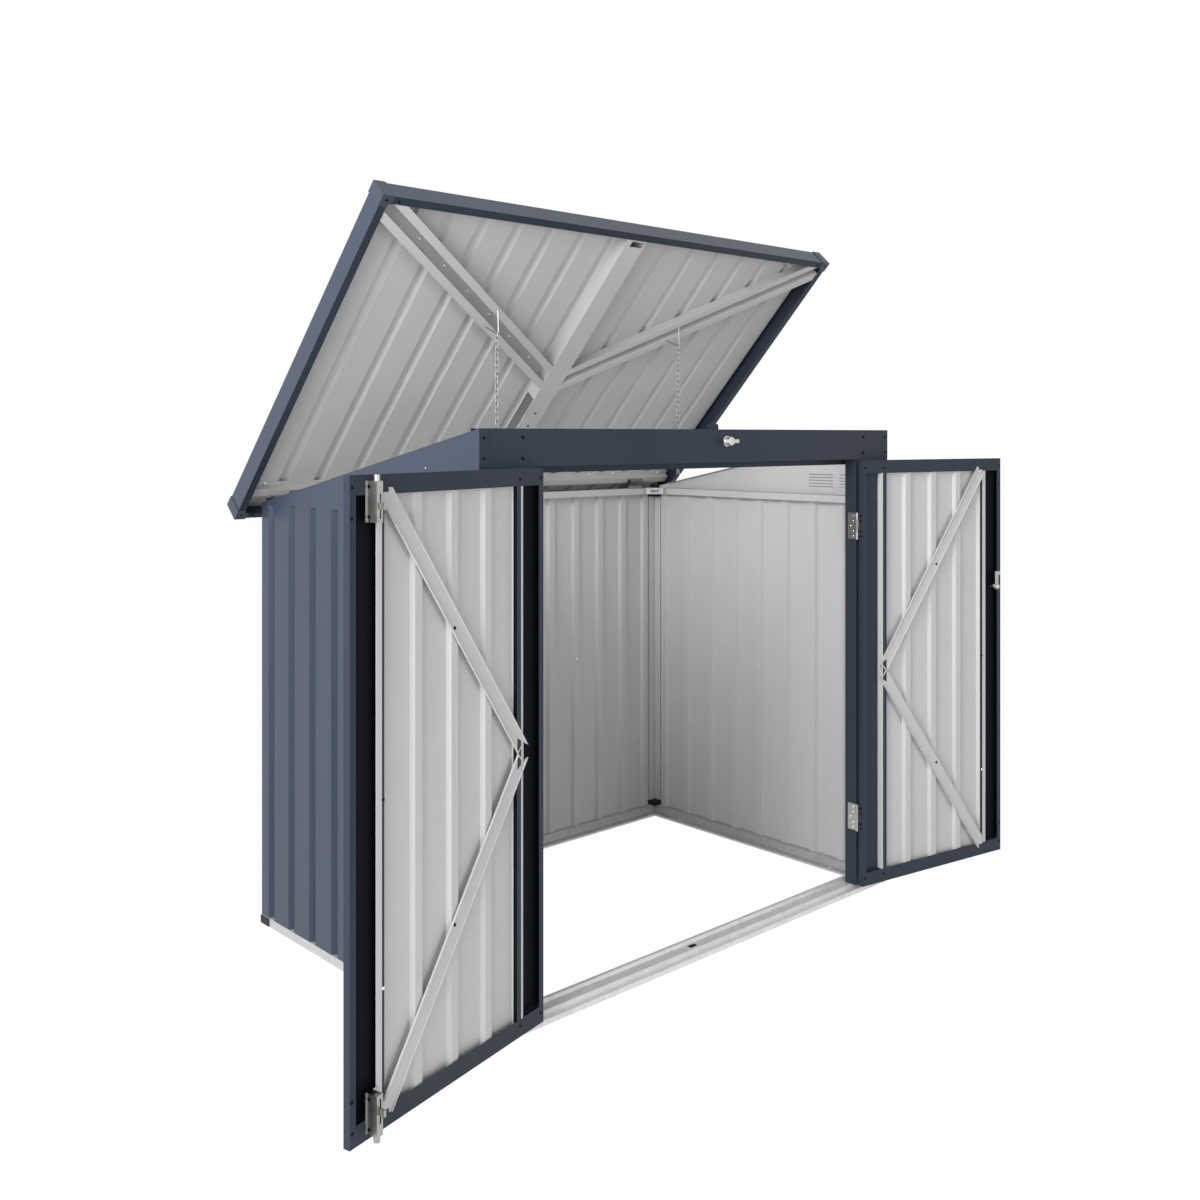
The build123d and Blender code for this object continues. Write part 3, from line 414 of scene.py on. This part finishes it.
# Hinges: pressed steel leaves with rolled knuckles on plain pins, bright zinc plated. The jamb
# leaves, each with five flush rivets, and the lid's rail leaves are fixed. The others move with
# door and lid.
def zinc_plate():
    # Bright zinc on stamped steel: pale silver, softly streaked, with a dull mirror shine
    streak_mm = 18.0
    material, tree, shader, at = start_material("bright_zinc_plate", metallic=1.0)
    streaks = add_node(tree, "ShaderNodeTexNoise", {"Scale": per_metre(streak_mm), "Detail": 5.0},
                       {"Vector": at})
    colour = add_node(tree, "ShaderNodeValToRGB", links={"Fac": (streaks, "Fac")},
                      stops=(linear("#A2A29F"), linear("#B8B8B4")))
    gloss = add_node(tree, "ShaderNodeValToRGB", links={"Fac": (streaks, "Fac")},
                     stops=(even(0.26), even(0.42)))
    connect(tree, shader, {"Base Color": (colour, "Color"), "Roughness": (gloss, "Color")})
    return material


leaf_x, leaf_levels, leaf_step = 573.8, (210, 1012), 14
leaf_row_y, leaf_middle_y = -453, -444.5
zinc = zinc_plate()
paint(zinc, "fixed_hinge_leaves", "hinge_pins", "lid_hinge_leaves")
paint(zinc, "left_door_hinge_leaves", "right_door_hinge_leaves")
flush_rivet = domed_head(2.6 * mm, 0.6 * mm)
hinge_rivets = []
for side in both_sides:
    for level in leaf_levels:
        for count in (-2, -1, 0, 1, 2):
            y = leaf_row_y if count else leaf_middle_y
            hinge_rivets.append(((side * leaf_x, y, level + count * leaf_step), (-side, 0, 0)))
fasten("hinge_rivets", flush_rivet, hinge_rivets, aluminium, "cabinet")


# Doors: stiles and rails folded from navy sheet round a ribbed panel that is pale on its inside.
# Pale trims lie along the stile ribs, and two lipped diagonal braces meet at the hinge side.
# The hinge leaves are screwed to the door's edge and powder coated with it.
def fold_shade_paint():
    # Painted shade inside the folds of the stiles, standing in for the deep shade there: matt and nearly
    # black, unevenly
    shade_patch_mm = 60.0
    material, tree, shader, at = start_material("painted_fold_shade", metallic=0.0)
    shader.inputs["Specular IOR Level"].default_value = 0.1
    shade_patches = add_node(tree, "ShaderNodeTexNoise", {"Scale": per_metre(shade_patch_mm), "Detail": 3.0},
                     {"Vector": at})
    colour = add_node(tree, "ShaderNodeValToRGB", links={"Fac": (shade_patches, "Fac")},
                      stops=(linear("#080B13"), linear("#0F131C")))
    gloss = add_node(tree, "ShaderNodeValToRGB", links={"Fac": (shade_patches, "Fac")},
                     stops=(even(0.6), even(0.75)))
    connect(tree, shader, {"Base Color": (colour, "Color"), "Roughness": (gloss, "Color")})
    return material


def turned(angle_deg, direction):
    return Matrix.Rotation(math.radians(angle_deg), 3, "Z") @ Vector(direction)


# A point of an open door in millimetres, from its hinge edge, from its outer face and from the ground
def on_door(side, across, inwards, level):
    x = across - hinge_x if side == "left" else hinge_x - across
    pin = swing_pin[side] / mm
    return pin + turned(swing_deg[side], Vector((x, front_y + inwards, level)) - pin)


# Whether a face of a stile lies inside its fold, clear of the door's outer skin
def in_fold(side, face):
    skin = 0.5
    closed = turned(-swing_deg[side], face.center - swing_pin[side]) + swing_pin[side]
    inwards = closed.y / mm - front_y
    across = hinge_x - abs(closed.x) / mm
    return skin < inwards < door_depth - skin and skin < across < leaf_width - skin


# Whether a face of a hinge leaf lies beyond its knuckles
def on_leaf(side, face):
    reach = face.center - swing_pin[side]
    return math.hypot(reach.x, reach.y) > knuckle_reach * mm


swing_deg = {"left": -joints["left_door_swing"]["range_deg"][1],
             "right": joints["right_door_swing"]["range_deg"][1]}
swing_pin = {side: Vector(joints[side + "_door_swing"]["pos_m"]) for side in ("left", "right")}
hinge_x, leaf_width, door_depth, strip_gauge = 570.0, 568.0, 15.0, 1.2
knuckle_reach, edge_screw_depth = 4.5, 8.0
door_screws = ((562, 1171), (81, 1171), (9, 1172), (562, 52), (81, 47), (9, 46), (563, 1117), (563, 107),
               (485, 612))
brace_screws = ((290, 893), (290, 325))
panel_rivet_across, panel_rivet_level = 485, 276
fold_shade = fold_shade_paint()
for side, angle in swing_deg.items():
    door = side + "_door"
    inside = turned(angle, (0, 1, 0))
    edge = turned(angle, (-1 if side == "left" else 1, 0, 0))
    paint(navy, door + "_rails", door + "_hinge_stile", door + "_lock_stile")
    paint(grey, door + "_trims", door + "_braces")
    paint_sides(door + "_panel", -inside, coil, grey)
    # Painted shade: the faces inside the stiles' folds are painted nearly black
    paint_part(door + "_lock_stile", fold_shade, lambda face: in_fold(side, face))
    # The right door's hinge stile gets no painted shade in its fold
    if side == "left":
        paint_part(door + "_hinge_stile", fold_shade, lambda face: in_fold(side, face))
    paint_part(door + "_hinge_leaves", navy, lambda face: on_leaf(side, face))
    places = [(on_door(side, -strip_gauge, edge_screw_depth, level + count * leaf_step), edge)
              for level in leaf_levels for count in (-2, -1, 1, 2)]
    fasten(door + "_edge_screws", sheet_screw, places, black_zinc, door)
    places = [(on_door(side, across, door_depth, level), inside) for across, level in door_screws]
    places += [(on_door(side, across, door_depth + strip_gauge, level), inside)
               for across, level in brace_screws]
    fasten(door + "_screws", sheet_screw, places, black_zinc, door)
    places = [(on_door(side, panel_rivet_across, door_depth, panel_rivet_level), inside)]
    fasten(door + "_rivet", wall_rivet, places, aluminium, door)


# Bolts of the left door: zinc-plated rods that slide in brackets folded from strip, each held by
# screws through its flange and its side. The lower rod drops through a slot in the sill.
bracket_levels = (1119, 1172, 46, 99)
flange_screw_across, side_screw_across, side_screw_depth = 505.5, 527.6, 22
inside, free_side = turned(swing_deg["left"], (0, 1, 0)), turned(swing_deg["left"], (1, 0, 0))
paint(zinc, "bolt_brackets", "top_bolt_rod", "bottom_bolt_rod")
places = [(on_door("left", flange_screw_across, door_depth + strip_gauge, level), inside)
          for level in bracket_levels]
places += [(on_door("left", side_screw_across, side_screw_depth, level), free_side)
           for level in bracket_levels]
fasten("bolt_bracket_screws", sheet_screw, places, black_zinc, "left_door")


# Socket of the lower bolt: a black moulded cup, fixed under the slot in the sill, that takes the end of
# the rod.
# Its black also stands in as painted shade in the slot. It is opened from a block.
socket_size, socket_wall = Vector((30, 18, 14)) * mm, 1.6 * mm
socket_place = Vector((-50, -430, 13.8)) * mm
socket = add_block(socket_size, socket_place)
pick_faces(socket, lambda face: face.normal.z > 0.9)
bpy.ops.mesh.inset(thickness=socket_wall)
bpy.ops.mesh.extrude_region_move(TRANSFORM_OT_translate={"value": (0, 0, socket_wall - socket_size.z)})
bpy.ops.object.mode_set(mode="OBJECT")
socket.name = "bolt_socket_painted_shade"
socket.data.materials.append(black)
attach(socket, "cabinet")


# Turn latches on the right door and the fascia: a die-cast zinc ring lies on the sheet, and a
# die-cast T-handle turns in it. A nut on the handle's shaft holds a hook cam of plated strip.
def cast_zinc():
    # Die-cast and tumbled zinc: pale warm silver, finely pitted, half matt
    pit_mm = 3.0
    material, tree, shader, at = start_material("tumbled_cast_zinc", metallic=1.0)
    shader.inputs["Roughness"].default_value = 0.36
    pits = add_node(tree, "ShaderNodeTexNoise", {"Scale": per_metre(pit_mm), "Detail": 3.0},
                    {"Vector": at})
    colour = add_node(tree, "ShaderNodeValToRGB", links={"Fac": (pits, "Fac")},
                      stops=(linear("#C0C0BC"), linear("#D4D4D0")))
    bump = add_node(tree, "ShaderNodeBump", {"Strength": 0.15, "Distance": 0.0003},
                    {"Height": (pits, "Fac")})
    connect(tree, shader, {"Base Color": (colour, "Color"), "Normal": (bump, "Normal")})
    return material


# Draws a half section in millimetres, as (radius, depth) from the outside inwards, and spins it round
def turned_part(section, closed):
    points = [Vector((radius, depth, 0)) * mm for radius, depth in section]
    bpy.ops.object.select_all(action="DESELECT")
    bpy.ops.mesh.primitive_plane_add(size=mm, location=points[0])
    part = bpy.context.object
    bpy.ops.object.transform_apply(location=True)
    bpy.ops.object.mode_set(mode="EDIT")
    bpy.ops.mesh.select_mode(type="VERT")
    bpy.ops.mesh.select_all(action="SELECT")
    bpy.ops.mesh.merge(type="CENTER")
    ends = points[1:] + points[:1] if closed else points[1:]
    for start, end in zip(points, ends):
        bpy.ops.mesh.extrude_region_move(TRANSFORM_OT_translate={"value": end - start})
    bpy.ops.mesh.select_all(action="SELECT")
    bpy.ops.mesh.remove_doubles(threshold=merge_reach)
    bpy.ops.mesh.spin(steps=40, angle=math.tau, center=(0, 0, 0), axis=(0, 1, 0))
    bpy.ops.mesh.select_all(action="SELECT")
    bpy.ops.mesh.remove_doubles(threshold=merge_reach)
    bpy.ops.mesh.normals_make_consistent(inside=False)
    bpy.ops.object.mode_set(mode="OBJECT")
    return part


def unite(piece, other):
    apply_modifier(piece, "BOOLEAN", operation="UNION", solver="EXACT", object=other)
    bpy.data.objects.remove(other)


# Ring with a rounded rim and a shallow dish round the handle's shaft
def latch_ring():
    bore, rim = 5.3, 13.5
    return turned_part([(bore, -2.6), (8.0, -2.6), (9.0, -3.2), (10.2, -3.9), (11.6, -4.0), (12.7, -3.5),
                        (13.3, -2.5), (rim, -1.2), (rim, 0), (bore, 0)], closed=True)


# Round boss and shaft in one, a cross bar drawn in towards its rounded ends, and the nut behind the cam
def latch_handle(cam_set):
    boss, shaft, chamfer = 11.0, 5.0, 0.8
    cam_room, nut_radius, nut_height, shaft_rest = 3.0, 8.0, 4.0, 2.2
    bar_size, bar_depth, bar_taper = Vector((54, 9, 11.5)) * mm, -15.5 * mm, 0.85
    bar_rounding, nut_rounding = 1.8 * mm, 0.5 * mm
    nut_start = cam_set + cam_room
    shaft_end = nut_start + nut_height + shaft_rest
    handle = turned_part([(0, -20.0), (7.5, -19.8), (10.0, -18.8), (boss, -17.0), (boss, -13.6),
                          (10.2, -12.0), (8.0, -11.0), (shaft, -10.6), (shaft, shaft_end - chamfer),
                          (shaft - chamfer, shaft_end), (0, shaft_end)], closed=False)
    bar = add_block(bar_size, (0, bar_depth, 0))
    pick_faces(bar, lambda face: abs(face.normal.x) > 0.9)
    bpy.ops.transform.resize(value=(1, bar_taper, bar_taper), center_override=(0, bar_depth, 0))
    bpy.ops.object.mode_set(mode="OBJECT")
    apply_modifier(bar, "BEVEL", width=bar_rounding, segments=3)
    unite(handle, bar)
    bpy.ops.object.select_all(action="DESELECT")
    bpy.ops.mesh.primitive_cylinder_add(vertices=6, radius=nut_radius * mm, depth=nut_height * mm,
                                        location=(0, (nut_start + nut_height / 2) * mm, 0),
                                        rotation=(math.radians(90), 0, 0))
    nut = bpy.context.object
    bpy.ops.object.transform_apply(location=True, rotation=True)
    apply_modifier(nut, "BEVEL", width=nut_rounding, segments=2)
    unite(handle, nut)
    return handle


# Turns a casting to face out of its sheet, as its joint's axis does, and sets it there
def fit_latch(piece, joint, node, body):
    outwards = Vector(joint["axis"])
    turn = Matrix.Rotation(math.atan2(outwards.x, -outwards.y), 4, "Z")
    piece.data.transform(Matrix.Translation(Vector(joint["pos_m"])) @ turn)
    piece.name = node + "_casting"
    smooth(piece, angle_deg=35)
    piece.data.materials.clear()
    piece.data.materials.append(latch_zinc)
    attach(piece, body)
    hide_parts(node)


merge_reach = 0.01 * mm
door_cam_set, lid_cam_set = 18.0, 37.0
latch_zinc = cast_zinc()
door_turn, lid_turn = joints["door_latch_turn"], joints["lid_latch_turn"]
fit_latch(latch_ring(), door_turn, "door_latch_ring", "right_door")
fit_latch(latch_handle(door_cam_set), door_turn, "door_latch_handle", "door_latch")
fit_latch(latch_ring(), lid_turn, "lid_latch_ring", "cabinet")
fit_latch(latch_handle(lid_cam_set), lid_turn, "lid_latch_handle", "lid_latch")
paint(zinc, "door_latch_cam", "lid_latch_cam")


# Lid: four rim rails, coil coated above and powder coated beneath, and moulded corner caps hold
# a ribbed sheet that is pale underneath. A cross rail, a centre beam and two lipped diagonal
# braces of pale strip stiffen it, and rivets hold them to the sheet.
lid_tilt_deg, hinge_forward, hinge_up = 46.57, 50.9, 6.2
lid_lean = Matrix.Rotation(math.radians(-lid_tilt_deg), 3, "X")
lid_up = lid_lean @ Vector((0, 0, 1))
lid_pin = Vector(joints["lid_lift"]["pos_m"]) / mm


# A point of the lid in millimetres: across, forward from the back rim, and up from the rim's underside
def on_lid(across, forward, up):
    return lid_pin + lid_lean @ Vector((across, hinge_forward - forward, up - hinge_up))


web_level, cap_under = 37.8, -2.0
rivet_pitch, rivets_per_brace = 103, 6
brace_front_x, brace_front, brace_slope = 720, 951, 0.6448
cross_rail_forward, cross_rail_rivets = 86.5, (412, 515, 721)
rim_screws = ((743, 997, 0), (776, 997, cap_under), (743, 9, 0), (776, 13, cap_under))
beam_screw_x, beam_screws_forward = -2, (330, 379)
cap_plastic = moulded_plastic("navy_polypropylene", "#343C49", "#3A4452", specular=0.5)
for name in ("lid_front_rail", "lid_back_rail", "lid_left_rail", "lid_right_rail"):
    paint_sides(name, lid_up, coil, navy)
paint(cap_plastic, "lid_corner_caps")
paint_sides("lid_panel", lid_up, coil, grey)
paint(grey, "lid_centre_beam", "lid_left_brace", "lid_right_brace", "lid_cross_rail", "lid_keeper")
lid_rivets, lid_screws = [], []
for side in both_sides:
    for count in range(rivets_per_brace):
        across = (count + 1) * rivet_pitch
        forward = brace_front - (brace_front_x - across) * brace_slope
        lid_rivets.append((on_lid(side * across, forward, web_level), -lid_up))
    for across in cross_rail_rivets:
        lid_rivets.append((on_lid(side * across, cross_rail_forward, web_level), -lid_up))
    for across, forward, up in rim_screws:
        lid_screws.append((on_lid(side * across, forward, up), -lid_up))
for forward in beam_screws_forward:
    lid_screws.append((on_lid(beam_screw_x, forward, strip_gauge), -lid_up))
lid_rivet = domed_head(4.6 * mm, 3.0 * mm)
fasten("lid_rivets", lid_rivet, lid_rivets, aluminium, "lid")
fasten("lid_screws", sheet_screw, lid_screws, black_zinc, "lid")
# The heads have been copied to all their places
for head in (frame_screw, wall_rivet, gable_rivet, sheet_screw, flush_rivet, lid_rivet):
    bpy.data.objects.remove(head)


# Chains: welded links of plated wire, each turned a quarter against the next, that hang from
# wire loops under the lid. Each chain ends in an open hook bent from the same wire.
def plated_wire():
    # Drawn and plated wire: even silver with a soft shine
    draw_mm = 8.0
    material, tree, shader, at = start_material("plated_wire", metallic=1.0)
    shader.inputs["Roughness"].default_value = 0.45
    marks = add_node(tree, "ShaderNodeTexNoise", {"Scale": per_metre(draw_mm), "Detail": 2.0},
                     {"Vector": at})
    colour = add_node(tree, "ShaderNodeValToRGB", links={"Fac": (marks, "Fac")},
                      stops=(linear("#989896"), linear("#B2B2B0")))
    connect(tree, shader, {"Base Color": (colour, "Color")})
    return material


# Link: a ring of wire, turned so that no row of points lies at half height, with its halves drawn apart
def chain_link():
    rows = 12
    bpy.ops.object.select_all(action="DESELECT")
    bpy.ops.mesh.primitive_torus_add(major_segments=rows, minor_segments=8, major_radius=half_width,
                                     minor_radius=wire_radius, rotation=(0, 0, math.pi / rows))
    link = bpy.context.object
    bpy.ops.object.transform_apply(rotation=True)
    link.rotation_euler = (0, math.radians(90), 0)
    bpy.ops.object.transform_apply(rotation=True)
    for way in (-1, 1):
        bpy.ops.object.mode_set(mode="EDIT")
        bpy.ops.mesh.select_mode(type="VERT")
        bpy.ops.mesh.select_all(action="DESELECT")
        bpy.ops.object.mode_set(mode="OBJECT")
        for point in link.data.vertices:
            point.select = point.co.z * way > 0
        bpy.ops.object.mode_set(mode="EDIT")
        bpy.ops.transform.translate(value=(0, 0, way * (half_length - half_width)))
        bpy.ops.object.mode_set(mode="OBJECT")
    smooth(link, angle_deg=60)
    return link


# Hook: the end of a wire drawn up, spun over the last link, drawn down and spun up again to an open end
def chain_hook():
    start, bend_top, bend_low, mouth, tip = 1.4 * mm, 5.2 * mm, -6.5 * mm, 5.3 * mm, 2.5 * mm
    bpy.ops.object.select_all(action="DESELECT")
    bpy.ops.mesh.primitive_circle_add(vertices=8, radius=wire_radius, fill_type="NGON",
                                      location=(0, -half_width, start))
    hook = bpy.context.object
    bpy.ops.object.transform_apply(location=True)
    bpy.ops.object.mode_set(mode="EDIT")
    bpy.ops.mesh.select_all(action="SELECT")
    bpy.ops.mesh.extrude_region_move(TRANSFORM_OT_translate={"value": (0, 0, bend_top - start)})
    bpy.ops.mesh.spin(steps=8, angle=-math.pi, center=(0, 0, bend_top), axis=(1, 0, 0))
    bpy.ops.mesh.extrude_region_move(TRANSFORM_OT_translate={"value": (0, 0, bend_low - bend_top)})
    bpy.ops.mesh.spin(steps=8, angle=-math.pi, center=(0, half_width - mouth, bend_low), axis=(1, 0, 0))
    bpy.ops.mesh.extrude_region_move(TRANSFORM_OT_translate={"value": (0, 0, tip)})
    bpy.ops.mesh.select_all(action="SELECT")
    bpy.ops.mesh.remove_doubles(threshold=merge_reach)
    bpy.ops.mesh.normals_make_consistent(inside=False)
    smooth(hook, angle_deg=60)
    return hook


wire_radius, half_width, half_length = 1.3 * mm, 4.0 * mm, 9.2 * mm
link_count, link_step, first_drop = 24, 15.0 * mm, 5.3 * mm
plated = plated_wire()
paint(plated, "chain_hangers")
link = chain_link()
hook = chain_hook()
for side in ("left", "right"):
    top = Vector(joints[side + "_chain_hang"]["pos_m"])
    placed = []
    for count, model in enumerate([link] * link_count + [hook]):
        drop = Vector((0, 0, first_drop + count * link_step))
        quarter = Matrix.Rotation(math.radians(90 * (count % 2)), 4, "Z")
        placed.append((model, Matrix.Translation(top - drop) @ quarter))
    chain = join_copies(side + "_chain_links", placed, plated)
    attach(chain, side + "_chain")
    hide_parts(side + "_chain")
bpy.data.objects.remove(link)
bpy.data.objects.remove(hook)


# Studio: a white floor that keeps a faint shadow, in a white surround. A large lamp and a smaller,
# higher one shine from the left, and a weak one from the front.
def seen_directly(tree):
    # 1 for rays from the camera and for mirrored and refracted ones, which see plain white
    rays = add_node(tree, "ShaderNodeLightPath")
    shown = add_node(tree, "ShaderNodeMath", operation="ADD",
                     links={0: (rays, "Is Camera Ray"), 1: (rays, "Is Glossy Ray")})
    return add_node(tree, "ShaderNodeMath", operation="ADD", use_clamp=True,
                    links={0: (shown, "Value"), 1: (rays, "Is Transmission Ray")})


def add_lamp(name, place, size, power):
    bpy.ops.object.light_add(type="AREA", location=place)
    lamp = bpy.context.object
    lamp.name = name
    lamp.rotation_euler = (lamp_target - Vector(place)).to_track_quat("-Z", "Y").to_euler()
    lamp.data.shape = "SQUARE"
    lamp.data.size = size
    lamp.data.energy = power


floor_size, floor_drop = 14.0, 0.5 * mm
floor_bounce, floor_shade, floor_glow = 0.88, 0.06, 0.97
bpy.ops.object.select_all(action="DESELECT")
bpy.ops.mesh.primitive_plane_add(size=floor_size, location=(0, 0, -floor_drop))
floor = bpy.context.object
floor.name = "floor"
floor_paint = bpy.data.materials.new("white_floor")
floor_paint.use_nodes = True
tree = floor_paint.node_tree
tree.nodes.remove(tree.nodes["Principled BSDF"])
bounce = add_node(tree, "ShaderNodeBsdfDiffuse", {"Color": even(floor_bounce)})
shade = add_node(tree, "ShaderNodeBsdfDiffuse", {"Color": even(floor_shade)})
glow = add_node(tree, "ShaderNodeEmission", {"Color": even(1.0), "Strength": floor_glow})
bright = add_node(tree, "ShaderNodeAddShader", links={0: (shade, "BSDF"), 1: (glow, "Emission")})
choice = add_node(tree, "ShaderNodeMixShader", links={
    "Fac": (seen_directly(tree), "Value"), 1: (bounce, "BSDF"), 2: (bright, "Shader")})
connect(tree, tree.nodes["Material Output"], {"Surface": (choice, "Shader")})
floor.data.materials.append(floor_paint)

surround_light, surround_white = 0.36, 1.0
world = bpy.data.worlds.new("white_surround")
bpy.context.scene.world = world
world.use_nodes = True
tree = world.node_tree
tree.nodes.remove(tree.nodes["Background"])
soft = add_node(tree, "ShaderNodeBackground", {"Color": even(1.0), "Strength": surround_light})
white = add_node(tree, "ShaderNodeBackground", {"Color": even(1.0), "Strength": surround_white})
choice = add_node(tree, "ShaderNodeMixShader", links={
    "Fac": (seen_directly(tree), "Value"), 1: (soft, "Background"), 2: (white, "Background")})
connect(tree, tree.nodes["World Output"], {"Surface": (choice, "Shader")})

lamp_target = Vector((0, 0, 0.8))
add_lamp("side_lamp", (-4.8, -2.4, 1.9), size=3.0, power=135)
add_lamp("high_lamp", (-3.6, -0.9, 2.6), size=1.5, power=92)
add_lamp("front_lamp", (0.5, -6.0, 1.0), size=2.0, power=42)


# Camera: level, at eye height, turned towards the left front corner. Its frame is shifted down,
# which keeps the upright edges of the cabinet parallel.
camera_place, camera_turn_deg = (-2.2536, -2.4808, 1.2620), -42.78
sensor_mm, lens_mm, frame_shift = 36.0, 37.07, -0.1374
bpy.ops.object.camera_add(location=camera_place,
                          rotation=(math.radians(90), 0, math.radians(camera_turn_deg)))
camera = bpy.context.object
camera.data.sensor_width = sensor_mm
camera.data.lens = lens_mm
camera.data.shift_y = frame_shift
scene = bpy.context.scene
scene.camera = camera
scene.view_settings.view_transform = "Standard"
